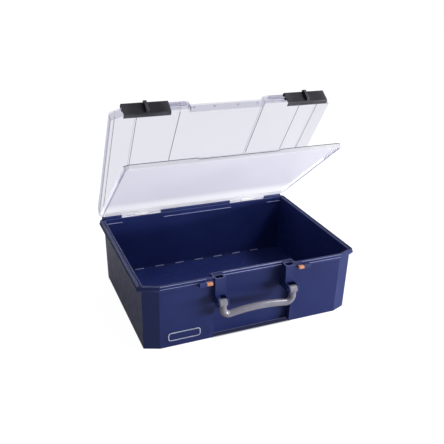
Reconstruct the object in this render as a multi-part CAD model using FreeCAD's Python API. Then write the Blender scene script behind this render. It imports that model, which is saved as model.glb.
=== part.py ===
import FreeCAD, Part
import math
import os
from collections import namedtuple

# Carrying case for small parts: a deep tray, a clear outer lid, a clear inner lid on the same
# hinge pins, two sliding latches on the outer lid and a carrying handle on the front.
# Frame in millimetres: origin at the middle of the underside, +X to the right seen from the
# front, +Y to the rear, +Z up. The lids stand part open, the latches are unlocked and the handle hangs.

# Tray rim
rim_width = 413.0
rim_depth = 313.0
rim_height = 125.0
rim_corner_x = 34.5
rim_corner_y = 16.0
rim_rear_corner = 6.0
rim_plate = 2.6
rim_skirt = 3.0
rim_drop = 9.0
rim_ledge = 1.2
rim_ledge_drop = 4.5
rim_bead = 1.6
groove_depth = 1.5

# Tray body below the rim
side_overhang = 8.0
front_overhang = 4.0
rear_overhang = 8.0
side_draft = 0.7
front_draft = 6.7
rear_draft = 3.5
body_corner_x = 26.5
body_corner_y = 11.0
body_rear_corner = 4.0
case_wall = 2.6
floor_thickness = 4.0

# Handle bay in the front wall, and the two hollow posts in it
bay_half_width = 75.0
bay_depth = 13.0
post_inner = 57.0
post_outer = 76.0
post_proud = 2.5
post_clearance = 1.2
post_top_drop = 1.5
post_wall = 3.0
post_pocket_depth = 25.0
post_pocket_reach = 9.0

# Locating crosses on the tray floor and ledges inside the rear wall
cross_pitch_x = 43.0
cross_pitch_y = 52.0
cross_columns = 7
cross_rows = 4
cross_shift_y = 22.0
cross_span = 12.0
cross_width = 1.6
cross_height = 1.0
foot_rib_length = 15.0
foot_rib_pitch = 22.0
foot_rib_count = 15
foot_rib_size = 2.0
ledge_drop = 10.0
ledge_height = 2.0
ledge_proud = 2.0

# Rear hinge
hinge_set_back = 1.5
hinge_lift = 0.5
knuckle_radius = 4.2
hinge_pin_radius = 1.5
pin_clearance = 0.05
hinge_gap = 0.6
centre_tab_half = 77.0
end_tab_start = 160.0
end_tab_margin = 7.5
pin_grip = 18.0
pin_inset = 0.5
knuckle_gap = 0.4
inner_knuckle_width = 28.0

# Outer lid
lid_seat = 0.4
lid_rise = 18.5
lid_draft = 1.5
lid_wall = 2.2
lid_panel = 2.2
lid_bay_half_width = 68.0
lid_bay_depth = 9.0
band_inner = 78.0
band_outer = 158.0
band_height = 3.0
band_front_margin = 18.0
band_rear_margin = 5.0
edge_rib_inset = 12.5
edge_rib_width = 1.6
edge_rib_height = 1.2
outer_open_angle = 55.0

# Inner lid
inner_side_margin = 5.0
inner_front_margin = 16.0
inner_rear_gap = 1.6
inner_corner_x = 8.0
inner_corner_y = 5.0
inner_rear_corner = 6.0
inner_seat = 0.5
inner_rise = 9.0
inner_wall = 2.0
inner_panel = 2.0
inner_arm_lift = 0.8
inner_open_angle = 37.0

# Latch rails on the outer lid
rail_start = 77.0
rail_end_margin = 17.0
rail_neck_depth = 3.4
rail_neck_low = 6.0
rail_neck_height = 3.0
rail_head_depth = 2.0
rail_head_low = 3.0
rail_head_height = 8.5

# Sliding latches, shown unlocked
latch_start = 108.4
latch_length = 80.0
latch_low_drop = 12.5
latch_height = 26.5
latch_depth = 9.0
latch_back_gap = 0.4
latch_plate = 2.0
latch_lip = 1.8
latch_bevel = 2.0
latch_cavity_rise = 1.5
slide_clearance = 0.3
thumb_rib_width = 5.0
thumb_rib_proud = 5.0
thumb_rib_rise = 2.0
thumb_rib_foot = 4.0

# Keepers under the rim and the coloured lock markers beside them
keeper_start = 92.0
keeper_end = 105.0
marker_start = 81.5
keeper_proud = 6.7
keeper_low_drop = 10.4
keeper_height = 6.6
marker_height = 5.4
marker_bevel = 0.8

# Handle and its pivots
handle_forward = 13.5
handle_height = 82.5
ear_radius = 7.0
ear_thickness = 2.4
handle_pin_radius = 2.5
handle_pin_proud = 0.6
barrel_radius = 6.8
barrel_side_gap = 0.5
grip_radius = 6.6
arm_length = 24.0
arm_corner_radius = 12.0
grip_bow_angle = 9.0

# Every cut runs past the face it opens by this much
overrun = 2.0

half_width = rim_width / 2
end_tab_end = half_width - end_tab_margin
rail_end = half_width - rail_end_margin
inner_half_width = half_width - inner_side_margin
rim_front = -rim_depth / 2
rim_rear = rim_depth / 2
hinge_y = rim_rear + hinge_set_back
hinge_z = rim_height + hinge_lift
lid_rear = hinge_y - knuckle_radius - hinge_gap
gap_middle = (centre_tab_half + end_tab_start) / 2
axis_x = FreeCAD.Vector(1, 0, 0)
axis_z = FreeCAD.Vector(0, 0, 1)

Plan = namedtuple("Plan", "half_width front rear corner_x corner_y rear_corner bay_half bay_front")


# Outlines seen from above: straight sides, cut corners and, where it has one, a set-back bay in the front
def outline(plan, level):
    bay = [(plan.bay_half, plan.bay_front), (plan.bay_half, plan.front)] if plan.bay_half else []
    right = bay + [
        (plan.half_width - plan.corner_x, plan.front),
        (plan.half_width, plan.front + plan.corner_y),
        (plan.half_width, plan.rear - plan.rear_corner),
        (plan.half_width - plan.rear_corner, plan.rear),
    ]
    left = [(-x, y) for x, y in reversed(right)]
    points = [FreeCAD.Vector(x, y, level) for x, y in right + left]
    return Part.makePolygon(points + points[:1])


# The same outline moved inwards by a wall, with its cut corners kept parallel
def shrink(plan, wall):
    spare = math.hypot(plan.corner_x, plan.corner_y) - plan.corner_x - plan.corner_y
    return Plan(
        plan.half_width - wall,
        plan.front + wall,
        plan.rear - wall,
        plan.corner_x + wall * spare / plan.corner_y,
        plan.corner_y + wall * spare / plan.corner_x,
        plan.rear_corner - wall * (2 - math.sqrt(2)),
        plan.bay_half + wall if plan.bay_half else 0,
        plan.bay_front + wall,
    )


def prism(plan, low, high):
    return Part.Face(outline(plan, low)).extrude(axis_z * (high - low))


def taper(low_plan, low, high_plan, high):
    return Part.makeLoft([outline(low_plan, low), outline(high_plan, high)], True, True)


def block(x0, x1, y0, y1, z0, z1):
    low = FreeCAD.Vector(min(x0, x1), min(y0, y1), min(z0, z1))
    return Part.makeBox(abs(x1 - x0), abs(y1 - y0), abs(z1 - z0), low)


def rod(radius, x0, x1, y, z):
    return Part.makeCylinder(radius, abs(x1 - x0), FreeCAD.Vector(min(x0, x1), y, z), axis_x)


# A section drawn in Y and Z, drawn out along X
def bar(points, x0, x1):
    corners = [FreeCAD.Vector(min(x0, x1), y, z) for y, z in points]
    return Part.Face(Part.makePolygon(corners + corners[:1])).extrude(axis_x * abs(x1 - x0))


def joined(shapes):
    return shapes[0].multiFuse(shapes[1:]).removeSplitter()


# A lid modelled shut is swung open about the hinge pins
def opened(shape, angle):
    turned = shape.copy()
    turned.rotate(FreeCAD.Vector(0, hinge_y, hinge_z), axis_x, -angle)
    return turned


def save(shape, name):
    shape.exportStep("parts/" + name + ".step")


rim_plan = Plan(
    half_width, rim_front, rim_rear, rim_corner_x, rim_corner_y, rim_rear_corner,
    bay_half_width, rim_front + bay_depth,
)
body_top_plan = Plan(
    half_width - side_overhang, rim_front + front_overhang, rim_rear - rear_overhang,
    body_corner_x, body_corner_y, body_rear_corner,
    bay_half_width, rim_front + front_overhang + bay_depth,
)
body_low_plan = body_top_plan._replace(
    half_width=body_top_plan.half_width - side_draft,
    front=body_top_plan.front + front_draft,
    rear=body_top_plan.rear - rear_draft,
    bay_front=body_top_plan.bay_front + front_draft,
)
handle_y = rim_front - handle_forward
post_front = rim_front - post_proud
post_low = handle_height + barrel_radius + post_clearance
keeper_low = rim_height - keeper_low_drop
keeper_front = rim_front - keeper_proud


# The rim turns out and down and steps out at a ledge, with a groove in its top between wall and outer bead
def tray_rim():
    ledge = rim_height - rim_ledge_drop
    skirt = prism(rim_plan, rim_height - rim_drop, ledge)
    full = skirt.fuse(prism(shrink(rim_plan, rim_ledge), ledge, rim_height))
    hollow = prism(shrink(rim_plan, rim_skirt), rim_height - rim_drop - overrun, rim_height - rim_plate)
    groove = prism(shrink(rim_plan, rim_ledge + rim_bead), rim_height - groove_depth, rim_height + overrun)
    groove = groove.cut(prism(body_top_plan, rim_height - groove_depth, rim_height + overrun))
    room_y = hinge_y - knuckle_radius - hinge_gap
    low = rim_height - rim_drop - overrun
    rooms = [
        block(side * centre_tab_half, side * end_tab_start, room_y, hinge_y, low, rim_height + overrun)
        for side in (-1, 1)
    ]
    return full.cut(hollow).cut(groove).cut(rooms[0]).cut(rooms[1])


# One hinge tab on the rear rim: an upright with a round top about the pin
def hinge_tab(x0, x1):
    front = hinge_y - knuckle_radius
    upright = block(x0, x1, front, hinge_y + knuckle_radius, rim_height - rim_drop, hinge_z)
    return [upright, rod(knuckle_radius, x0, x1, hinge_y, hinge_z)]


# One post of the handle bay with the two ears that carry the handle's pin
def handle_post(side):
    inside = body_low_plan.bay_front + case_wall
    pieces = [
        block(side * post_inner, side * post_outer, post_front, inside, post_low, rim_height - post_top_drop)
    ]
    for x in (post_inner, post_outer - ear_thickness):
        x0 = side * x
        x1 = side * (x + ear_thickness)
        pieces.append(rod(ear_radius, x0, x1, handle_y, handle_height))
        pieces.append(block(x0, x1, handle_y, inside, handle_height - ear_radius, post_low))
    return pieces


# The open pocket in a post's top, and the pin hole through its ears
def post_openings(side):
    pocket = block(
        side * (post_inner + post_wall), side * (post_outer - post_wall),
        post_front + post_wall, post_front + post_wall + post_pocket_reach,
        rim_height - post_top_drop - post_pocket_depth, rim_height + overrun,
    )
    radius = handle_pin_radius + pin_clearance
    hole = rod(radius, side * (post_inner - overrun), side * (post_outer + overrun), handle_y, handle_height)
    return [pocket, hole]


def floor_cross(x, y):
    reach = cross_span / 2
    half = cross_width / 2
    top = floor_thickness + cross_height
    low = floor_thickness - cross_height
    return [
        block(x - reach, x + reach, y - half, y + half, low, top),
        block(x - half, x + half, y - reach, y + reach, low, top),
    ]


# Crosses that locate loose insert boxes, short ribs along the rear wall's foot, and ledges below the tabs
def tray_details():
    pieces = []
    for column in range(cross_columns):
        for row in range(cross_rows):
            x = (column - (cross_columns - 1) / 2) * cross_pitch_x
            y = (row - (cross_rows - 1) / 2) * cross_pitch_y + cross_shift_y
            pieces += floor_cross(x, y)
    wall_foot = body_low_plan.rear - case_wall
    for number in range(foot_rib_count):
        x = (number - (foot_rib_count - 1) / 2) * foot_rib_pitch
        pieces.append(block(
            x - foot_rib_length / 2, x + foot_rib_length / 2,
            wall_foot - foot_rib_size, wall_foot + case_wall / 2,
            floor_thickness - foot_rib_size, floor_thickness + foot_rib_size,
        ))
    wall_top = body_top_plan.rear - case_wall
    low = rim_height - ledge_drop
    end = body_top_plan.half_width - case_wall / 2
    for x0, x1 in ((-centre_tab_half, centre_tab_half), (end_tab_start, end), (-end, -end_tab_start)):
        back = wall_top + case_wall / 2
        pieces.append(block(x0, x1, wall_top - ledge_proud, back, low, low + ledge_height))
    return pieces


def make_tray():
    outer = taper(body_low_plan, 0, body_top_plan, rim_height)
    cavity = taper(shrink(body_low_plan, case_wall), 0, shrink(body_top_plan, case_wall), rim_height)
    cavity = cavity.cut(block(-half_width, half_width, rim_front, rim_rear, -overrun, floor_thickness))
    pieces = [outer, tray_rim()]
    pieces += hinge_tab(-centre_tab_half, centre_tab_half)
    for side in (-1, 1):
        pieces += hinge_tab(side * end_tab_start, side * end_tab_end)
        pieces += handle_post(side)
        pieces.append(block(
            side * keeper_start, side * keeper_end, keeper_front, rim_front + rim_skirt,
            keeper_low, keeper_low + keeper_height,
        ))
    tray = joined(pieces).cut(cavity)
    bore = hinge_pin_radius + pin_clearance
    for side in (-1, 1):
        for opening in post_openings(side):
            tray = tray.cut(opening)
        start = centre_tab_half - pin_grip
        tray = tray.cut(rod(bore, side * start, side * (end_tab_end + overrun), hinge_y, hinge_z))
    return joined([tray] + tray_details())


lid_low_plan = rim_plan._replace(
    rear=lid_rear, bay_half=lid_bay_half_width, bay_front=rim_front + lid_bay_depth,
)
lid_top_plan = shrink(lid_low_plan, lid_draft)
lid_low = rim_height + lid_seat
lid_top = rim_height + lid_rise


# A knuckle ring about the hinge pin with an arm that reaches forward to the lid's rear wall
def knuckle(x0, x1, arm_front, arm_low):
    ring = rod(knuckle_radius, x0, x1, hinge_y, hinge_z)
    arm = block(x0, x1, arm_front, hinge_y, arm_low, hinge_z + knuckle_radius)
    bore = rod(hinge_pin_radius + pin_clearance, x0, x1, hinge_y, hinge_z)
    return ring.fuse(arm).cut(bore)


# One raised band of the lid's panel, or its hollow underside when moved in by the wall
def lid_band(side, wall, low, high):
    front = lid_top_plan.front + band_front_margin + wall
    rear = lid_top_plan.rear - band_rear_margin - wall
    return block(side * (band_inner + wall), side * (band_outer - wall), front, rear, low, high)


# The latch slides on this T-shaped rail along the lid's front wall
def latch_rail(side, clearance, x0, x1):
    neck_front = rim_front - rail_neck_depth
    head_low = rim_height + rail_head_low - clearance
    head_top = rim_height + rail_head_low + rail_head_height + clearance
    neck_low = rim_height + rail_neck_low - clearance
    neck_top = rim_height + rail_neck_low + rail_neck_height + clearance
    head = block(
        side * x0, side * x1, neck_front - rail_head_depth - clearance, neck_front + clearance,
        head_low, head_top,
    )
    neck = block(side * x0, side * x1, neck_front - clearance, rim_front + lid_draft, neck_low, neck_top)
    return head.fuse(neck)


def make_outer_lid():
    shell = taper(lid_low_plan, lid_low, lid_top_plan, lid_top)
    hollow = taper(
        shrink(lid_low_plan, lid_wall), lid_low, shrink(lid_top_plan, lid_wall), lid_top - lid_panel,
    )
    pieces = [shell]
    hollows = [hollow]
    rib_x = half_width - edge_rib_inset
    rib_front = lid_top_plan.front + rim_corner_y
    rib_rear = lid_top_plan.rear - band_rear_margin
    for side in (-1, 1):
        pieces.append(lid_band(side, 0, lid_top - lid_panel, lid_top + band_height))
        hollows.append(lid_band(side, lid_wall, lid_low + lid_wall, lid_top + band_height - lid_panel))
        pieces.append(block(
            side * (rib_x - edge_rib_width / 2), side * (rib_x + edge_rib_width / 2), rib_front, rib_rear,
            lid_top - lid_panel / 2, lid_top + edge_rib_height,
        ))
        pieces.append(latch_rail(side, 0, rail_start, rail_end))
    lid = joined(pieces)
    for hollow in hollows:
        lid = lid.cut(hollow)
    inner_half = inner_knuckle_width / 2
    knuckles = []
    for side in (-1, 1):
        spans = (
            (centre_tab_half + knuckle_gap, gap_middle - inner_half - knuckle_gap),
            (gap_middle + inner_half + knuckle_gap, end_tab_start - knuckle_gap),
        )
        for x0, x1 in spans:
            knuckles.append(knuckle(side * x0, side * x1, lid_rear - lid_wall / 2, lid_low))
        room = inner_half + knuckle_gap
        lid = lid.cut(block(
            side * (gap_middle - room), side * (gap_middle + room), lid_rear - lid_wall - lid_draft - overrun,
            lid_rear + overrun, lid_low - overrun, hinge_z + knuckle_radius + hinge_gap,
        ))
    return joined([lid] + knuckles)


# The inner lid is a shallow tray turned over, with one knuckle in the middle of each hinge gap
def make_inner_lid():
    front = rim_front + inner_front_margin
    rear = lid_rear - lid_wall - inner_rear_gap
    plan = Plan(inner_half_width, front, rear, inner_corner_x, inner_corner_y, inner_rear_corner, 0, front)
    low = rim_height + inner_seat
    top = rim_height + inner_rise
    shell = prism(plan, low, top).cut(prism(shrink(plan, inner_wall), low - overrun, top - inner_panel))
    pieces = [shell]
    half = inner_knuckle_width / 2
    for side in (-1, 1):
        middle = side * gap_middle
        arm_front = rear - inner_wall / 2
        pieces.append(knuckle(middle - half, middle + half, arm_front, rim_height + inner_arm_lift))
    return joined(pieces)


# A latch wraps the rail from the front and reaches below the rim, where its lip goes under the keeper
def make_latch(side):
    back = rim_front - latch_back_gap
    face = rim_front - latch_depth
    low = rim_height - latch_low_drop
    top = low + latch_height
    section = [
        (back, low), (back, top), (face + latch_bevel, top), (face, top - latch_bevel),
        (face, low + latch_bevel), (face + latch_bevel, low),
    ]
    end = latch_start + latch_length
    latch = bar(section, side * latch_start, side * end)
    middle = latch_start + latch_length / 2
    rib_front = face - thumb_rib_proud
    rib = [
        (face + latch_bevel, low + latch_bevel), (face + latch_bevel, top + thumb_rib_rise),
        (face, top + thumb_rib_rise), (rib_front, top - latch_bevel), (rib_front, low + thumb_rib_foot),
        (face, low + latch_bevel),
    ]
    reach = thumb_rib_width / 2
    latch = latch.fuse(bar(rib, side * (middle - reach), side * (middle + reach)))
    latch = latch.cut(latch_rail(side, slide_clearance, latch_start - overrun, end + overrun))
    latch = latch.cut(block(
        side * (latch_start - overrun), side * (end + overrun), face + latch_plate, back + overrun,
        low + latch_lip, rim_height + latch_cavity_rise,
    ))
    return latch.removeSplitter()


# The coloured marker fills the space between the keeper and the post and shows that the latch is open
def make_marker(side):
    marker = block(
        side * marker_start, side * keeper_start, keeper_front, rim_front,
        keeper_low, keeper_low + marker_height,
    )
    front_edges = [edge for edge in marker.Edges if edge.BoundBox.YMax < keeper_front + marker_bevel]
    return marker.makeChamfer(marker_bevel, front_edges)


# The handle is one round bar: down from each barrel, round a corner and along a grip that bows upwards
def make_handle():
    arm_x = (post_inner + post_outer) / 2
    corner_x = arm_x - arm_corner_radius
    corner_z = handle_height - arm_length + arm_corner_radius
    bow = math.radians(grip_bow_angle)
    turn = math.pi / 2 + bow

    def spot(side, x, z):
        return FreeCAD.Vector(side * x, handle_y, z)

    def on_corner(side, angle):
        away = arm_corner_radius * math.cos(angle)
        return spot(side, corner_x + away, corner_z - arm_corner_radius * math.sin(angle))

    grip_end = on_corner(1, turn)
    grip_rise = grip_end.x * math.tan(bow / 2)
    path = []
    for side in (-1, 1):
        path.append(Part.makeLine(spot(side, arm_x, handle_height), spot(side, arm_x, corner_z)))
        path.append(Part.Arc(on_corner(side, 0), on_corner(side, turn / 2), on_corner(side, turn)).toShape())
    path.append(Part.Arc(on_corner(-1, turn), spot(0, 0, grip_end.z + grip_rise), grip_end).toShape())
    spine = Part.Wire(Part.__sortEdges__(path))
    ring = Part.Wire(Part.makeCircle(grip_radius, spot(-1, arm_x, handle_height), axis_z))
    pieces = [spine.makePipeShell([ring], True, False)]
    for side in (-1, 1):
        inner = side * (post_inner + ear_thickness + barrel_side_gap)
        outer = side * (post_outer - ear_thickness - barrel_side_gap)
        pieces.append(rod(barrel_radius, inner, outer, handle_y, handle_height))
    handle = joined(pieces)
    bore = handle_pin_radius + pin_clearance
    for side in (-1, 1):
        handle = handle.cut(rod(bore, side * post_inner, side * post_outer, handle_y, handle_height))
    return handle


def make_handle_pin(side):
    inner = side * (post_inner - handle_pin_proud)
    outer = side * (post_outer + handle_pin_proud)
    return rod(handle_pin_radius, inner, outer, handle_y, handle_height)


def make_hinge_pin(side):
    inner = side * (centre_tab_half - pin_grip + pin_inset)
    outer = side * (end_tab_end - pin_inset)
    return rod(hinge_pin_radius, inner, outer, hinge_y, hinge_z)


os.makedirs("parts", exist_ok=True)
save(make_tray(), "case_tray")
save(opened(make_outer_lid(), outer_open_angle), "outer_lid")
save(opened(make_inner_lid(), inner_open_angle), "inner_lid")
save(make_handle(), "carry_handle")
for side, word in ((-1, "left"), (1, "right")):
    save(opened(make_latch(side), outer_open_angle), "latch_" + word)
    save(make_marker(side), "lock_marker_" + word)
    save(make_handle_pin(side), "handle_pin_" + word)
    save(make_hinge_pin(side), "hinge_pin_" + word)
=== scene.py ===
import bpy
import math
from mathutils import Matrix, Vector


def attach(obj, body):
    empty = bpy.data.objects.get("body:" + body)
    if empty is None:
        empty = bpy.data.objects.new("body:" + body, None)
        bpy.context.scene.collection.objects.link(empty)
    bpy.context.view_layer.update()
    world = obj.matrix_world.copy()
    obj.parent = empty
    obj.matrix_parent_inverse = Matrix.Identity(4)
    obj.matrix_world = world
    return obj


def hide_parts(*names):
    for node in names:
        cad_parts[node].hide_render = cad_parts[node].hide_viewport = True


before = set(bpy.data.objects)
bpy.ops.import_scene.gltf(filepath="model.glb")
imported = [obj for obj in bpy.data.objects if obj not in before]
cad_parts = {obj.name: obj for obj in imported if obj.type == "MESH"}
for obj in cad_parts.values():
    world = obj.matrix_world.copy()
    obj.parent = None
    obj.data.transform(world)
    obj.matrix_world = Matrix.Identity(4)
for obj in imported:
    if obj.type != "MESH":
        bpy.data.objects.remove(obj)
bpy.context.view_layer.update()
scene = bpy.context.scene
scene.view_settings.view_transform = "Standard"
print("frame loaded:", len(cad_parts), "solids")

mm = 0.001
bothSides = (-1, 1)  # left, right
hingeMm = (0, 158, 125.5)  # the middle of the line that both lids turn on


# camera, solved from the edges of the case in a 444 px frame
photoCamera = {
    "place": (-0.41523, -1.04251, 0.64044),
    "yaw": 24.937,
    "pitch": 23.558,
    "roll": 1.897,
    "sensorMm": 36,
    "focalPixels": 638.62,
    "centrePixel": (255.98, 223.23),
    "imagePixels": 444,
}


def addCamera(view):
    yaw, pitch, roll = (math.radians(view[turn]) for turn in ("yaw", "pitch", "roll"))
    ahead = Vector((math.sin(yaw) * math.cos(pitch), math.cos(yaw) * math.cos(pitch), -math.sin(pitch)))
    right = Vector((math.cos(yaw), -math.sin(yaw), 0))
    up = right.cross(ahead)
    rightTurned = right * math.cos(roll) + up * math.sin(roll)
    upTurned = up * math.cos(roll) - right * math.sin(roll)
    turned = Matrix((rightTurned, upTurned, -ahead)).transposed().to_4x4()
    bpy.ops.object.camera_add(location=view["place"])
    camera = bpy.context.object
    camera.name = "photoCamera"
    camera.matrix_world = Matrix.Translation(view["place"]) @ turned
    lens = camera.data
    pixels = view["imagePixels"]
    lens.sensor_width = view["sensorMm"]
    lens.lens = view["sensorMm"] * view["focalPixels"] / pixels
    lens.shift_x = (pixels / 2 - view["centrePixel"][0]) / pixels
    lens.shift_y = (view["centrePixel"][1] - pixels / 2) / pixels
    scene.camera = camera


addCamera(photoCamera)
print("camera set")


# sRGB hex code to linear colour
def linearColour(code):
    parts = [int(code[i:i + 2], 16) / 255 for i in (0, 2, 4)]
    return tuple(p / 12.92 if p <= 0.04045 else ((p + 0.055) / 1.055) ** 2.4 for p in parts) + (1,)


# one node with its settings and links: a tuple value is (node, output name), and n2 is input number 2
def addNode(tree, kind, settings=None, **sockets):
    node = tree.nodes.new(kind)
    for name, value in (settings or {}).items():
        setattr(node, name, value)
    for name, value in sockets.items():
        numbered = name[0] == "n" and name[1:].isdigit()
        socket = node.inputs[int(name[1:]) if numbered else name.replace("_", " ")]
        if isinstance(value, tuple) and hasattr(value[0], "outputs"):
            tree.links.new(value[0].outputs[value[1]], socket)
        else:
            socket.default_value = value
    return node


def newMaterial(name):
    material = bpy.data.materials.new(name)
    material.use_nodes = True
    material.node_tree.nodes.clear()
    return material, material.node_tree


def perMm(size):  # noise scale whose features are about this many millimetres
    return 1000 / size


def setRamp(node, stops):
    ramp = node.color_ramp
    while len(ramp.elements) > 1:
        ramp.elements.remove(ramp.elements[-1])
    ramp.elements[0].position = stops[0][0]
    ramp.elements[0].color = stops[0][1]
    for position, colour in stops[1:]:
        ramp.elements.new(position).color = colour


def grey(value):
    return (value, value, value, 1)


noiseLow, noiseHigh = 0.3, 0.7  # most of a noise pattern lies between these
edgeWearAndHighlightFrom, edgeWearAndHighlightTo = 0.52, 0.6  # pointiness where the pale edge starts, and where an edge is pale all over: partly rubbed wear, partly painted highlight
plasticIor = 1.5


# moulded plastic: drifting colour, a cloudy gloss, spark-eroded grain and pale edges, partly rubbed wear and
# partly painted highlight
# the grain is drawn coarser than the real one, so that it shows
def mouldedPlastic(name, look):
    material, tree = newMaterial(name)
    place = addNode(tree, "ShaderNodeTexCoord")
    spot = (place, "Object")
    drift = addNode(tree, "ShaderNodeTexNoise", Vector=spot, Scale=perMm(look["driftMm"]), Detail=3.0)
    tint = addNode(tree, "ShaderNodeValToRGB", Fac=(drift, "Fac"))
    setRamp(tint, [(noiseLow, linearColour(look["dark"])), (noiseHigh, linearColour(look["light"]))])
    edge = addNode(tree, "ShaderNodeNewGeometry")
    scuff = addNode(tree, "ShaderNodeTexNoise", Vector=spot, Scale=perMm(look["scuffMm"]), Detail=4.0)
    # painted highlight and rubbed wear: sharp edges, found by pointiness, are painted pale in patches
    edgeWearAndHighlight = addNode(tree, "ShaderNodeMapRange", n0=(edge, "Pointiness"), n1=edgeWearAndHighlightFrom, n2=edgeWearAndHighlightTo,
                     n3=0.0, n4=1.0)
    wornAndHighlit = addNode(tree, "ShaderNodeMath", {"operation": "MULTIPLY"}, n0=(edgeWearAndHighlight, "Result"), n1=(scuff, "Fac"))
    share = addNode(tree, "ShaderNodeMath", {"operation": "MULTIPLY"}, n0=(wornAndHighlit, "Value"), n1=look["edgeWearAndHighlightStrength"])
    paint = addNode(tree, "ShaderNodeMix", {"data_type": "RGBA"}, n0=(share, "Value"), n6=(tint, "Color"),
                    n7=linearColour(look["edgeWearAndHighlight"]))
    cloud = addNode(tree, "ShaderNodeTexNoise", Vector=spot, Scale=perMm(look["cloudMm"]), Detail=4.0)
    gloss = addNode(tree, "ShaderNodeMapRange", n0=(cloud, "Fac"), n1=noiseLow, n2=noiseHigh,
                    n3=look["rough"][0], n4=look["rough"][1])
    grain = addNode(tree, "ShaderNodeTexNoise", Vector=spot, Scale=perMm(look["grainMm"]), Detail=2.0)
    bump = addNode(tree, "ShaderNodeBump", Height=(grain, "Fac"), Strength=look["grain"],
                   Distance=look["grainDeepMm"] * mm)
    shader = addNode(tree, "ShaderNodeBsdfPrincipled", Base_Color=(paint, "Result"), Roughness=(gloss, "Result"),
                     Normal=(bump, "Normal"), Specular_IOR_Level=look["shine"], IOR=plasticIor)
    addNode(tree, "ShaderNodeOutputMaterial", Surface=(shader, "BSDF"))
    return material


# injection moulded blue polypropylene: a dull deep blue with a soft sheen at a flat angle
bluePolypropylene = mouldedPlastic("bluePolypropyleneMoulded", {
    "dark": "1d2860", "light": "24316d", "edgeWearAndHighlight": "5a669c", "driftMm": 90, "scuffMm": 6, "cloudMm": 14,
    "rough": (0.34, 0.44), "grainMm": 0.9, "grain": 0.22, "grainDeepMm": 0.08, "shine": 0.36, "edgeWearAndHighlightStrength": 0.6})

# dark grey ABS, satin: nearly black, with a soft painted highlight along its edges
greyAbs = mouldedPlastic("darkGreyAbsMoulded", {
    "dark": "29282e", "light": "323139", "edgeWearAndHighlight": "b4b4c0", "driftMm": 40, "scuffMm": 3, "cloudMm": 8,
    "rough": (0.34, 0.46), "grainMm": 0.7, "grain": 0.18, "grainDeepMm": 0.06, "shine": 0.25, "edgeWearAndHighlightStrength": 0.6})

# glass filled nylon: mid grey, a little mottled by its fibres, with a bright gloss along the grip
greyNylon = mouldedPlastic("greyNylonGlassFilled", {
    "dark": "807e8c", "light": "8f8d9c", "edgeWearAndHighlight": "b0aebc", "driftMm": 18, "scuffMm": 3, "cloudMm": 6,
    "rough": (0.16, 0.24), "grainMm": 0.8, "grain": 0.06, "grainDeepMm": 0.03, "shine": 0.9, "edgeWearAndHighlightStrength": 0.5})

# the same blue painted pale as painted highlight: on the foot ribs, the hinge ledges and the front rim's edges
paintedHighlightPolypropylene = mouldedPlastic("bluePolypropyleneHighlightPainted", {
    "dark": "8a90c4", "light": "a4a9d6", "edgeWearAndHighlight": "c8ccec", "driftMm": 8, "scuffMm": 2, "cloudMm": 4,
    "rough": (0.2, 0.3), "grainMm": 0.6, "grain": 0.1, "grainDeepMm": 0.03, "shine": 0.6, "edgeWearAndHighlightStrength": 0.5})

# pale pad print around the bare badge field: chalky, with a slightly uneven coat
palePrint = mouldedPlastic("paleInkPadPrinted", {
    "dark": "b4bad0", "light": "ccd2e4", "edgeWearAndHighlight": "e6eaf4", "driftMm": 5, "scuffMm": 1, "cloudMm": 3,
    "rough": (0.4, 0.55), "grainMm": 0.4, "grain": 0.15, "grainDeepMm": 0.03, "shine": 0.3, "edgeWearAndHighlightStrength": 0.4})

# orange polypropylene of the lock markers: warm, even, slightly waxy
orangePolypropylene = mouldedPlastic("orangePolypropyleneMoulded", {
    "dark": "dc8a62", "light": "e8a07c", "edgeWearAndHighlight": "f6cbb4", "driftMm": 12, "scuffMm": 2, "cloudMm": 4,
    "rough": (0.34, 0.46), "grainMm": 0.6, "grain": 0.15, "grainDeepMm": 0.05, "shine": 0.4, "edgeWearAndHighlightStrength": 0.5})

# drawn acetal rod, white as painted light: pale and waxy, so the hinge stays light inside its clear knuckles
paintedLightAcetal = mouldedPlastic("paleAcetalLightPainted", {
    "dark": "dcdce0", "light": "eaeaee", "edgeWearAndHighlight": "ffffff", "driftMm": 12, "scuffMm": 2, "cloudMm": 4,
    "rough": (0.28, 0.4), "grainMm": 0.5, "grain": 0.1, "grainDeepMm": 0.03, "shine": 0.5, "edgeWearAndHighlightStrength": 0.3})


# what all the clear finishes share
clearSurface = {"hazeFrom": 0.35, "hazeTo": 0.75, "rubStretch": (1.0, 0.08, 0.08), "rubTurn": (0.0, 0.0, 0.5),
                "rubDeepMm": 0.02, "facingBlend": 0.5, "glossBlend": 0.35, "chalk": 0.3}


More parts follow.
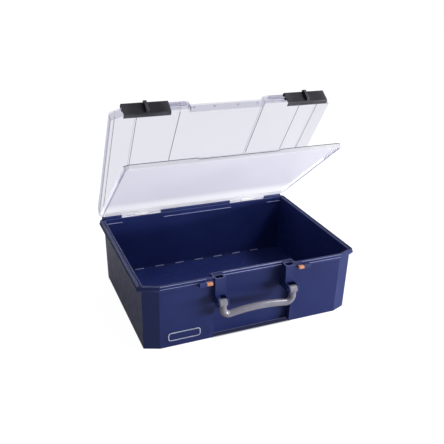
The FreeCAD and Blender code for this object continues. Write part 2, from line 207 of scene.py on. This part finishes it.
# clear plastic: see-through with a faint cool tint, fine rub marks, a little milk and pale edges
# the rub marks are drawn coarser than real ones, so that they show
def clearPlastic(name, look):
    material, tree = newMaterial(name)
    place = addNode(tree, "ShaderNodeTexCoord")
    spot = (place, "Object")
    haze = addNode(tree, "ShaderNodeTexNoise", Vector=spot, Scale=perMm(look["hazeMm"]), Detail=5.0)
    gloss = addNode(tree, "ShaderNodeMapRange", n0=(haze, "Fac"), n1=clearSurface["hazeFrom"],
                    n2=clearSurface["hazeTo"], n3=look["rough"][0], n4=look["rough"][1])
    stretch = addNode(tree, "ShaderNodeMapping", Vector=spot, Scale=clearSurface["rubStretch"],
                      Rotation=clearSurface["rubTurn"])
    rub = addNode(tree, "ShaderNodeTexNoise", Vector=(stretch, "Vector"), Scale=perMm(look["rubMm"]), Detail=3.0)
    bump = addNode(tree, "ShaderNodeBump", Height=(rub, "Fac"), Strength=look["rub"],
                   Distance=clearSurface["rubDeepMm"] * mm)
    bends = addNode(tree, "ShaderNodeBsdfRefraction", Color=linearColour(look["tint"]),
                    Roughness=(gloss, "Result"), IOR=look["ior"], Normal=(bump, "Normal"))
    straight = addNode(tree, "ShaderNodeBsdfTransparent", Color=linearColour(look["edge"]))
    side = addNode(tree, "ShaderNodeNewGeometry")
    flat = addNode(tree, "ShaderNodeLayerWeight", Blend=clearSurface["facingBlend"])
    # past this slant light can't leave, and an edge would go black
    limit = 1 - math.sqrt(1 - 1 / look["ior"] ** 2)
    steep = addNode(tree, "ShaderNodeMath", {"operation": "GREATER_THAN"}, n0=(flat, "Facing"), n1=limit)
    trapped = addNode(tree, "ShaderNodeMath", {"operation": "MULTIPLY"}, n0=(steep, "Value"),
                      n1=(side, "Backfacing"))
    through = addNode(tree, "ShaderNodeMixShader", Fac=(trapped, "Value"), n1=(bends, "BSDF"),
                      n2=(straight, "BSDF"))
    mirrors = addNode(tree, "ShaderNodeBsdfGlossy", Color=grey(1.0), Roughness=(gloss, "Result"),
                      Normal=(bump, "Normal"))
    slant = addNode(tree, "ShaderNodeLayerWeight", Blend=clearSurface["glossBlend"])
    share = addNode(tree, "ShaderNodeMapRange", n0=(slant, "Fresnel"), n1=0.0, n2=1.0,
                    n3=look["shine"][0], n4=look["shine"][1])
    both = addNode(tree, "ShaderNodeMixShader", Fac=(share, "Result"), n1=(through, "Shader"),
                   n2=(mirrors, "BSDF"))
    milkColour = linearColour(look["milkTint"])
    if "paintedLightTint" in look:  # painted light: the milk colour is painted whiter towards the hinge and in its front wall, lifting places that render greyer in shade
        across = addNode(tree, "ShaderNodeMapping", Vector=spot, Scale=(0.0, 1.0, 1.0))
        away = addNode(tree, "ShaderNodeVectorMath", {"operation": "DISTANCE"}, n0=(across, "Vector"),
                       n1=Vector(hingeMm) * mm)
        near = addNode(tree, "ShaderNodeMapRange", n0=(away, "Value"), n1=look["hingeFadeMm"][0] * mm,
                       n2=look["hingeFadeMm"][1] * mm, n3=1.0, n4=0.0)
        wall = addNode(tree, "ShaderNodeMath", {"operation": "GREATER_THAN"}, n0=(away, "Value"),
                       n1=look["frontWallMm"] * mm)
        pale = addNode(tree, "ShaderNodeMath", {"operation": "MAXIMUM"}, n0=(near, "Result"), n1=(wall, "Value"))
        white = addNode(tree, "ShaderNodeMix", {"data_type": "RGBA"}, n0=(pale, "Value"), n6=milkColour,
                        n7=linearColour(look["paintedLightTint"]))
        milkColour = (white, "Result")
    cloudy = addNode(tree, "ShaderNodeBsdfTranslucent", Color=milkColour)
    chalky = addNode(tree, "ShaderNodeBsdfDiffuse", Color=milkColour)
    milk = addNode(tree, "ShaderNodeMixShader", Fac=clearSurface["chalk"], n1=(cloudy, "BSDF"),
                   n2=(chalky, "BSDF"))
    milky = addNode(tree, "ShaderNodeMixShader", Fac=look["milk"], n1=(both, "Shader"), n2=(milk, "Shader"))
    addNode(tree, "ShaderNodeOutputMaterial", Surface=(milky, "Shader"))
    return material


# polished polycarbonate of the outer lid: clear, with a faint cool tint
clearOuterLid = clearPlastic("clearPolycarbonatePolished", {
    "tint": "f0f0f4", "edge": "c8c8d0", "rough": (0.0, 0.05), "hazeMm": 25, "rubMm": 1.5, "rub": 0.05,
    "ior": 1.12, "shine": (0.015, 0.06), "milk": 0.01, "milkTint": "e8e8f0"})

# the inner lid's polypropylene is milky: what lies behind it shows paler, without its fine lines
clearInnerLid = clearPlastic("milkyPolypropyleneClear", {
    "tint": "ffffff", "edge": "e6e6ec", "rough": (0.05, 0.1), "hazeMm": 25, "rubMm": 1.5, "rub": 0.05,
    "ior": 1.15, "shine": (0.0, 0.02), "milk": 0.6, "milkTint": "dcdce6",
    # painted light: the milk is painted paler towards the hinge and in the front wall
    "paintedLightTint": "f6f6f8", "hingeFadeMm": (38, 72), "frontWallMm": 296})

# painted shade: dark clear plastic for the thin dark lines that the edges of the clear lids show
paintedShadeEdge = clearPlastic("clearPolypropyleneShadePainted", {
    "tint": "787884", "edge": "787884", "rough": (0.1, 0.2), "hazeMm": 6, "rubMm": 1.0, "rub": 0.1,
    "ior": 1.15, "shine": (0.0, 0.02), "milk": 0.05, "milkTint": "50505a"})

# ribs moulded into the clear side walls: tinted grey as painted shade, so they show softly grey against a bright
# ground
ribbedPolypropylene = clearPlastic("clearPolypropyleneRibbed", {
    "tint": "c8c8d4", "edge": "c8c8d4", "rough": (0.1, 0.2), "hazeMm": 6, "rubMm": 1.0, "rub": 0.1,
    "ior": 1.15, "shine": (0.0, 0.02), "milk": 0.2, "milkTint": "b0b0c0"})


# drawn steel rod: bright grey metal with fine lines along its length
# the lines are drawn coarser than real ones, so that they show
rodLook = {"dark": "9a9ca0", "light": "c4c6c9", "lineMm": 0.4, "lineStretch": (0.03, 1.0, 1.0),
           "rough": (0.22, 0.38), "lines": 0.1, "lineDeepMm": 0.02}


def drawnSteel(name, look):
    material, tree = newMaterial(name)
    place = addNode(tree, "ShaderNodeTexCoord")
    along = addNode(tree, "ShaderNodeMapping", Vector=(place, "Object"), Scale=look["lineStretch"])
    lines = addNode(tree, "ShaderNodeTexNoise", Vector=(along, "Vector"), Scale=perMm(look["lineMm"]), Detail=3.0)
    tint = addNode(tree, "ShaderNodeValToRGB", Fac=(lines, "Fac"))
    setRamp(tint, [(noiseLow, linearColour(look["dark"])), (noiseHigh, linearColour(look["light"]))])
    gloss = addNode(tree, "ShaderNodeMapRange", n0=(lines, "Fac"), n1=noiseLow, n2=noiseHigh,
                    n3=look["rough"][0], n4=look["rough"][1])
    bump = addNode(tree, "ShaderNodeBump", Height=(lines, "Fac"), Strength=look["lines"],
                   Distance=look["lineDeepMm"] * mm)
    shader = addNode(tree, "ShaderNodeBsdfPrincipled", Base_Color=(tint, "Color"), Roughness=(gloss, "Result"),
                     Normal=(bump, "Normal"), Metallic=1.0)
    addNode(tree, "ShaderNodeOutputMaterial", Surface=(shader, "BSDF"))
    return material


pinSteel = drawnSteel("steelRodDrawn", rodLook)
print("materials made")


# copies of the solids with merged faces, softened edges and flat faces that stay flat
# across and along: planes that cut every ring and hole, so each face is a simple one
dressing = {
    "case_tray": {"name": "trayMoulding", "body": "case", "slot": "case_plastic", "finish": bluePolypropylene,
                  "roundMm": 0.3, "across": (0, 43, 66.5, 86, 118.5, 129, 172, 190, 201),
                  "along": (-170, 0, 158), "tallRoundMm": 1.2},
    "outer_lid": {"name": "outerLidMoulding", "body": "outer lid", "slot": "clear_plastic",
                  "finish": clearOuterLid, "roundMm": 0.35, "across": (0, 68, 88, 118.5), "along": (158,)},
    "inner_lid": {"name": "innerLidMoulding", "body": "inner lid", "slot": "clear_plastic",
                  "finish": clearInnerLid, "roundMm": 0.3, "across": (0, 118.5), "along": (158,)},
    "latch_left": {"name": "leftLatchMoulding", "body": "left latch", "slot": "latch_plastic",
                   "finish": greyAbs, "roundMm": 0.35, "across": (148.4,), "along": ()},
    "latch_right": {"name": "rightLatchMoulding", "body": "right latch", "slot": "latch_plastic",
                    "finish": greyAbs, "roundMm": 0.35, "across": (148.4,), "along": ()},
    "carry_handle": {"name": "handleMoulding", "body": "handle", "slot": "handle_plastic", "finish": greyNylon,
                     "roundMm": 0, "across": (), "along": ()},
    "lock_marker_left": {"name": "leftMarkerMoulding", "body": "case", "slot": "marker_plastic",
                         "finish": orangePolypropylene, "roundMm": 0.25, "across": (), "along": ()},
    "lock_marker_right": {"name": "rightMarkerMoulding", "body": "case", "slot": "marker_plastic",
                          "finish": orangePolypropylene, "roundMm": 0.25, "across": (), "along": ()},
}
softening = {"mergeMm": 0.005, "flatDegrees": 1, "tallMm": 80, "tallSegments": 3, "segments": 2,
             "bevelDegrees": 32, "smoothDegrees": 50, "flatWeight": 100}
pinFinishes = {"handle_pin_left": pinSteel, "handle_pin_right": pinSteel,
               "hinge_pin_left": paintedLightAcetal, "hinge_pin_right": paintedLightAcetal}


def mergeFaces(look):  # starts and ends in edit mode
    bpy.ops.mesh.select_all(action="SELECT")
    bpy.ops.mesh.customdata_custom_splitnormals_clear()
    bpy.ops.mesh.remove_doubles(threshold=softening["mergeMm"] * mm)
    planes = [((side * x * mm, 0, 0), (1, 0, 0)) for x in look["across"] for side in bothSides]
    planes += [((0, y * mm, 0), (0, 1, 0)) for y in look["along"]]
    for place, normal in planes:
        bpy.ops.mesh.select_all(action="SELECT")
        bpy.ops.mesh.bisect(plane_co=place, plane_no=normal)
        bpy.ops.mesh.mark_seam()
    bpy.ops.mesh.select_all(action="SELECT")
    bpy.ops.mesh.dissolve_limited(angle_limit=math.radians(softening["flatDegrees"]), delimit={"SEAM"})


def roundTallEdges(piece, radiusMm):  # starts and ends in edit mode
    bpy.ops.mesh.select_all(action="DESELECT")
    bpy.ops.object.mode_set(mode="OBJECT")
    spots = piece.data.vertices
    for edge in piece.data.edges:
        low, high = (spots[i].co for i in edge.vertices)
        edge.select = abs(high.z - low.z) > softening["tallMm"] * mm and not edge.use_seam
    bpy.ops.object.mode_set(mode="EDIT")
    bpy.ops.mesh.bevel(offset=radiusMm * mm, segments=softening["tallSegments"], clamp_overlap=True)


def softenEdges(piece, radiusMm):
    soften = piece.modifiers.new("softEdges", "BEVEL")
    soften.width = radiusMm * mm
    soften.segments = softening["segments"]
    soften.limit_method = "ANGLE"
    soften.angle_limit = math.radians(softening["bevelDegrees"])
    soften.use_clamp_overlap = False
    bpy.ops.object.modifier_apply(modifier=soften.name)


def levelFaces(piece):
    bpy.ops.object.shade_smooth_by_angle(angle=math.radians(softening["smoothDegrees"]))
    level = piece.modifiers.new("flatFaces", "WEIGHTED_NORMAL")
    level.weight = softening["flatWeight"]
    level.keep_sharp = True
    bpy.ops.object.modifier_apply(modifier=level.name)


def dressNode(node, look):
    bpy.ops.object.select_all(action="DESELECT")
    piece = bpy.data.objects.new(look["name"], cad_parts[node].data.copy())
    scene.collection.objects.link(piece)
    piece.select_set(True)
    bpy.context.view_layer.objects.active = piece
    bpy.ops.object.mode_set(mode="EDIT")
    mergeFaces(look)
    if "tallRoundMm" in look:  # the tray's upright corners are rounder than its other edges
        roundTallEdges(piece, look["tallRoundMm"])
    bpy.ops.object.mode_set(mode="OBJECT")
    if look["roundMm"]:
        softenEdges(piece, look["roundMm"])
    for spot in piece.data.vertices:  # nothing sinks into the bench
        spot.co.z = max(spot.co.z, 0)
    levelFaces(piece)
    piece.data.materials.clear()
    piece.data.materials.append(look["finish"])
    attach(piece, look["body"])
    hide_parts(node)
    return piece


for node, look in dressing.items():
    piece = dressNode(node, look)
    print("dressed", piece.name, len(piece.data.polygons), "faces")
for lid in ("outerLidMoulding", "innerLidMoulding"):
    bpy.data.objects[lid].visible_shadow = False  # clear plastic hardly dims the lamps
for pin, finish in pinFinishes.items():
    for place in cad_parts[pin].material_slots:
        place.material = finish


# small moulded details, shaped at the origin, set where they are on the shut case, then turned open with their lid
hingeLine = Matrix.Translation(Vector(hingeMm) * mm)
openDegrees = {"case": 0, "outer lid": 55, "inner lid": 37}
detailing = {"alike": 0.9, "edgeSegments": 4, "smoothDegrees": 40, "bossSides": 32}  # alike: least cosine


def startBlock(sizeMm):
    bpy.ops.object.select_all(action="DESELECT")
    bpy.ops.mesh.primitive_cube_add(size=1)
    piece = bpy.context.object
    piece.scale = [length * mm for length in sizeMm]
    bpy.ops.object.transform_apply(scale=True)
    return piece


def pickFaces(piece, direction):  # ends in edit mode with the faces that look this way
    bpy.ops.object.mode_set(mode="EDIT")
    bpy.ops.mesh.select_mode(type="FACE")
    bpy.ops.mesh.select_all(action="DESELECT")
    bpy.ops.object.mode_set(mode="OBJECT")
    for face in piece.data.polygons:
        face.select = face.normal.dot(Vector(direction)) > detailing["alike"]
    bpy.ops.object.mode_set(mode="EDIT")


def roundEdges(piece, direction, radiusMm):  # rounds the edges that run this way
    bpy.ops.object.mode_set(mode="EDIT")
    bpy.ops.mesh.select_mode(type="EDGE")
    bpy.ops.mesh.select_all(action="DESELECT")
    bpy.ops.object.mode_set(mode="OBJECT")
    spots = piece.data.vertices
    for edge in piece.data.edges:
        run = spots[edge.vertices[1]].co - spots[edge.vertices[0]].co
        edge.select = abs(run.normalized().dot(Vector(direction))) > detailing["alike"]
    bpy.ops.object.mode_set(mode="EDIT")
    bpy.ops.mesh.bevel(offset=radiusMm * mm, segments=detailing["edgeSegments"])
    bpy.ops.object.mode_set(mode="OBJECT")


def setCopies(pattern, look):
    bpy.ops.object.shade_smooth_by_angle(angle=math.radians(detailing["smoothDegrees"]))
    swing = Matrix.Rotation(-math.radians(openDegrees[look["body"]]), 4, "X")
    opened = hingeLine @ swing @ hingeLine.inverted()
    lean = Matrix.Rotation(math.radians(look.get("leanDegrees", 0)), 4, "X")
    for number, place in enumerate(look["placesMm"], 1):
        bpy.ops.object.select_all(action="DESELECT")
        piece = pattern.copy()
        piece.data = pattern.data.copy()
        piece.name = look["name"] + str(number)
        scene.collection.objects.link(piece)
        piece.matrix_world = opened @ Matrix.Translation(Vector(place) * mm) @ lean
        piece.select_set(True)
        bpy.context.view_layer.objects.active = piece
        bpy.ops.object.transform_apply(location=True, rotation=True)
        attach(piece, look["body"])
    bpy.data.objects.remove(pattern)
    print("detail", look["name"], len(look["placesMm"]))


# bare badge plate on the left front panel: a rounded plate with a printed border and an empty field
badge = {"name": "badgePlate", "body": "case", "slot": "case_plastic", "border": palePrint,
         "field": bluePolypropylene, "sizeMm": (58.5, 1.2, 16.5), "cornerMm": 5, "borderMm": 1.5,
         "recessMm": 0.5, "placesMm": [(-128, -147.35, 20.2)], "leanDegrees": 3.07}


def addBadge(look):
    piece = startBlock(look["sizeMm"])
    piece.data.materials.append(look["border"])
    piece.data.materials.append(look["field"])
    roundEdges(piece, (0, 1, 0), look["cornerMm"])
    pickFaces(piece, (0, -1, 0))
    bpy.ops.mesh.inset(thickness=look["borderMm"] * mm)
    bpy.ops.mesh.extrude_region_move(TRANSFORM_OT_translate={"value": (0, look["recessMm"] * mm, 0)})
    piece.active_material_index = 1
    bpy.ops.object.material_slot_assign()
    bpy.ops.object.mode_set(mode="OBJECT")
    setCopies(piece, look)


# bars with edges rounded along their run: caps, ribs, lips and lines
def addBars(look):
    piece = startBlock(look["sizeMm"])
    piece.data.materials.append(look["finish"])
    roundEdges(piece, look["run"], look["roundMm"])
    setCopies(piece, look)


# painted highlights: pale caps on every second rib along the rear wall's foot
footCaps = {"name": "footCap", "body": "case", "slot": "case_plastic", "finish": paintedHighlightPolypropylene,
            "sizeMm": (19, 1.8, 1.6), "run": (1, 0, 0), "roundMm": 0.6,
            "placesMm": [(44 * i, 141.2, 6.4) for i in range(-3, 4)]}

# painted highlights: pale caps along the top edges of the ledges under the hinge tabs, where they catch the light
centreLedge = {"name": "centreLedgeCap", "body": "case", "slot": "case_plastic", "finish": paintedHighlightPolypropylene,
               "sizeMm": (150, 1.2, 1.2), "run": (1, 0, 0), "roundMm": 0.4, "placesMm": [(0, 144.3, 116.9)]}
endLedges = {"name": "endLedgeCap", "body": "case", "slot": "case_plastic", "finish": paintedHighlightPolypropylene,
             "sizeMm": (32, 1.2, 1.2), "run": (1, 0, 0), "roundMm": 0.4,
             "placesMm": [(side * 178, 144.3, 116.9) for side in bothSides]}

# painted highlights: pale caps on the edges of the front rim's bead and the step below it, in the handle bay and
# beside the posts
bayEdges = {"name": "bayEdgeCap", "body": "case", "slot": "case_plastic", "finish": paintedHighlightPolypropylene,
            "sizeMm": (112, 1, 1), "run": (1, 0, 0), "roundMm": 0.3,
            "placesMm": [(0, -141.95, 124.65), (0, -143.15, 120.15)]}
panelEdges = {"name": "panelEdgeCap", "body": "case", "slot": "case_plastic", "finish": paintedHighlightPolypropylene,
              "sizeMm": (80, 0.7, 0.7), "run": (1, 0, 0), "roundMm": 0.2,
              "placesMm": [(side * 131, y, z) for side in bothSides
                           for y, z in ((-155.05, 124.75), (-156.25, 120.25))]}

# fine ribs: inside the inner lid's side walls near the front, and inside the outer lid's rear wall near its ends
sideRibs = {"name": "sideRib", "body": "inner lid", "slot": "clear_plastic", "finish": ribbedPolypropylene,
            "sizeMm": (1.2, 1.6, 6), "run": (0, 0, 1), "roundMm": 0.3,
            "placesMm": [(side * 199, -132 + 6 * i, 128.8) for side in bothSides for i in range(11)]}
rearRibs = {"name": "rearRib", "body": "outer lid", "slot": "clear_plastic", "finish": clearOuterLid,
            "sizeMm": (1.4, 0.8, 6), "run": (0, 0, 1), "roundMm": 0.3,
            "placesMm": [(side * (163 + 6 * i), 149.8, 138.2) for side in bothSides for i in range(6)]}

# painted shade: grey lips along the lower edges of the inner lid's side walls
sideLips = {"name": "sideLip", "body": "inner lid", "slot": "clear_plastic", "finish": ribbedPolypropylene,
            "sizeMm": (1.4, 274, 1.2), "run": (0, 1, 0), "roundMm": 0.3,
            "placesMm": [(side * 199.6, 3, 126.2) for side in bothSides]}

# painted shade: the edges of the outer lid's bands and edge ribs, as thin dark lines under its panel
bandLines = {"name": "bandLine", "body": "outer lid", "slot": "clear_plastic", "finish": paintedShadeEdge,
             "sizeMm": (0.7, 268, 0.7), "run": (0, 1, 0), "roundMm": 0.2,
             "placesMm": [(side * x, 4, 141.4) for side in bothSides for x in (80, 156, 194)]}

# painted shade: a thin dark lip along the inner lid's front edge, a little lower in the middle
frontLip = {"name": "frontLip", "body": "inner lid", "slot": "clear_plastic", "finish": paintedShadeEdge,
            "sizeMm": (0.9, 0.9, 0.9), "roundMm": 0.25, "placesMm": [(-201.2, -135.9, 133.1)],
            "runsMm": [(8, -5, 0), (116, 0, 0), (2.5, 0, -2.4), (149, 0, 0), (2.5, 0, 2.4), (116, 0, 0),
                       (8, 5, 0)]}


def addFrontLip(look):
    piece = startBlock(look["sizeMm"])
    piece.data.materials.append(look["finish"])
    pickFaces(piece, (1, 0, 0))
    for run in look["runsMm"]:
        bpy.ops.mesh.extrude_region_move(TRANSFORM_OT_translate={"value": Vector(run) * mm})
    bpy.ops.object.mode_set(mode="OBJECT")
    roundEdges(piece, (1, 0, 0), look["roundMm"])
    setCopies(piece, look)


# small dished bosses on the outer lid's set-back front strip
stripBosses = {"name": "stripBoss", "body": "outer lid", "slot": "clear_plastic", "finish": clearOuterLid,
               "radiusMm": 2.2, "deepMm": 1.2, "rimMm": 0.6, "dishMm": 0.6,
               "placesMm": [(x, -147.2, 134) for x in (-60, -22, 22, 60)]}


def addBosses(look):
    bpy.ops.object.select_all(action="DESELECT")
    bpy.ops.mesh.primitive_cylinder_add(vertices=detailing["bossSides"], radius=look["radiusMm"] * mm,
                                        depth=look["deepMm"] * mm, rotation=(math.pi / 2, 0, 0))
    piece = bpy.context.object
    bpy.ops.object.transform_apply(rotation=True)
    piece.data.materials.append(look["finish"])
    pickFaces(piece, (0, -1, 0))
    bpy.ops.mesh.inset(thickness=look["rimMm"] * mm)
    bpy.ops.mesh.extrude_region_move(TRANSFORM_OT_translate={"value": (0, look["dishMm"] * mm, 0)})
    bpy.ops.object.mode_set(mode="OBJECT")
    setCopies(piece, look)


addBadge(badge)
for bars in (footCaps, centreLedge, endLedges, bayEdges, panelEdges):
    addBars(bars)
addFrontLip(frontLip)
for bars in (sideRibs, sideLips, rearRibs, bandLines):
    addBars(bars)
addBosses(stripBosses)


# floor and light: a low softbox at the right front, one above the right side, one high at the rear, and a dim room
studio = {
    "floorSize": 16, "floorDrop": 0.0004, "floorColour": "c8c8c8", "floorGlow": 0.97, "floorFaint": 0.2,
    # painted shade on the floor, in the strip at the foot of the handle bay
    "bayHalfMm": 75, "bayMiddleMm": 138, "bayDeepMm": 5, "bayBlurMm": 5, "bayShade": "2b2d48",
    "floorInGloss": 0.18,
    "roomInGloss": 0.15,
    "fill": 0.15,
    "lamps": {
        "frontSoftbox": {"place": (1.9, -1.35, 0.17), "aim": (0, 0, 0.08), "size": (1.8, 0.45), "power": 64},
        "topSoftbox": {"place": (1.2, -0.55, 1.5), "aim": (0, 0, 0.1), "size": (1.0, 0.4), "power": 18},
        "rearSoftbox": {"place": (0.9, 1.6, 2.0), "aim": (0, 0, 0.1), "size": (1.6, 0.6), "power": 11},
    },
}


# how much of the white background a ray sees: all for the eye and through clear plastic, a share in reflections
def seenBackground(tree, inGloss):
    path = addNode(tree, "ShaderNodeLightPath")
    gloss = addNode(tree, "ShaderNodeMath", {"operation": "MULTIPLY"}, n0=(path, "Is Glossy Ray"), n1=inGloss)
    clear = addNode(tree, "ShaderNodeMath", {"operation": "MAXIMUM"}, n0=(path, "Is Camera Ray"),
                    n1=(path, "Is Transmission Ray"))
    either = addNode(tree, "ShaderNodeMath", {"operation": "MAXIMUM"}, n0=(clear, "Value"), n1=(gloss, "Value"))
    first = addNode(tree, "ShaderNodeMath", {"operation": "LESS_THAN"}, n0=(path, "Diffuse Depth"),
                    n1=0.5)  # not yet off a matt surface
    return addNode(tree, "ShaderNodeMath", {"operation": "MULTIPLY"}, n0=(either, "Value"), n1=(first, "Value"))


# painted shade: 1 in the strip of floor at the foot of the handle bay, 0 elsewhere, with soft borders
def bayMask(tree, look):
    place = addNode(tree, "ShaderNodeTexCoord")
    spot = addNode(tree, "ShaderNodeSeparateXYZ", Vector=(place, "Object"))
    aside = addNode(tree, "ShaderNodeMath", {"operation": "ABSOLUTE"}, n0=(spot, "X"))
    width = addNode(tree, "ShaderNodeMapRange", n0=(aside, "Value"), n1=look["bayHalfMm"] * mm,
                    n2=(look["bayHalfMm"] + look["bayBlurMm"]) * mm, n3=1.0, n4=0.0)
    ahead = addNode(tree, "ShaderNodeMath", {"operation": "ADD"}, n0=(spot, "Y"), n1=look["bayMiddleMm"] * mm)
    apart = addNode(tree, "ShaderNodeMath", {"operation": "ABSOLUTE"}, n0=(ahead, "Value"))
    depth = addNode(tree, "ShaderNodeMapRange", n0=(apart, "Value"), n1=look["bayDeepMm"] * mm,
                    n2=(look["bayDeepMm"] + look["bayBlurMm"]) * mm, n3=1.0, n4=0.0)
    return addNode(tree, "ShaderNodeMath", {"operation": "MULTIPLY"}, n0=(width, "Result"), n1=(depth, "Result"))


# pale matt floor: white to the eye, with a little cast shadow and a deep painted shade in the handle bay
def addFloor(look):
    bpy.ops.object.select_all(action="DESELECT")
    bpy.ops.mesh.primitive_plane_add(size=look["floorSize"], location=(0, 0, -look["floorDrop"]))
    floor = bpy.context.object
    floor.name = "studioFloor"
    bpy.ops.object.transform_apply(location=True)
    material, tree = newMaterial("paleStudioFloor")
    seen = seenBackground(tree, look["floorInGloss"])
    shade = bayMask(tree, look)
    matt = addNode(tree, "ShaderNodeBsdfDiffuse", Color=linearColour(look["floorColour"]))
    # painted shade: the glow and the faint matt colour are painted dark in the strip at the foot of the handle bay
    lit = addNode(tree, "ShaderNodeMix", {"data_type": "RGBA"}, n0=(shade, "Value"), n6=grey(look["floorGlow"]),
                  n7=linearColour(look["bayShade"]))
    pale = addNode(tree, "ShaderNodeMix", {"data_type": "RGBA"}, n0=(shade, "Value"),
                   n6=grey(look["floorFaint"]), n7=grey(0.0))
    faint = addNode(tree, "ShaderNodeBsdfDiffuse", Color=(pale, "Result"))
    glow = addNode(tree, "ShaderNodeEmission", Color=(lit, "Result"), Strength=1.0)
    both = addNode(tree, "ShaderNodeAddShader", n0=(faint, "BSDF"), n1=(glow, "Emission"))
    mixed = addNode(tree, "ShaderNodeMixShader", Fac=(seen, "Value"), n1=(matt, "BSDF"), n2=(both, "Shader"))
    addNode(tree, "ShaderNodeOutputMaterial", Surface=(mixed, "Shader"))
    floor.data.materials.append(material)


def addLight(look):
    world = bpy.data.worlds.new("studioRoom")
    scene.world = world
    world.use_nodes = True
    tree = world.node_tree
    tree.nodes.clear()
    seen = seenBackground(tree, look["roomInGloss"])
    strength = addNode(tree, "ShaderNodeMapRange", n0=(seen, "Value"), n1=0.0, n2=1.0, n3=look["fill"], n4=1.0)
    room = addNode(tree, "ShaderNodeBackground", Color=grey(1.0), Strength=(strength, "Result"))
    addNode(tree, "ShaderNodeOutputWorld", Surface=(room, "Background"))
    for name, lamp in look["lamps"].items():
        bpy.ops.object.light_add(type="AREA", location=lamp["place"])
        light = bpy.context.object
        light.name = name
        light.data.shape = "RECTANGLE"
        light.data.size, light.data.size_y = lamp["size"]
        light.data.energy = lamp["power"]
        toward = Vector(lamp["aim"]) - Vector(lamp["place"])
        light.rotation_euler = toward.to_track_quat("-Z", "Y").to_euler()


addFloor(studio)
addLight(studio)
print("studio lit")
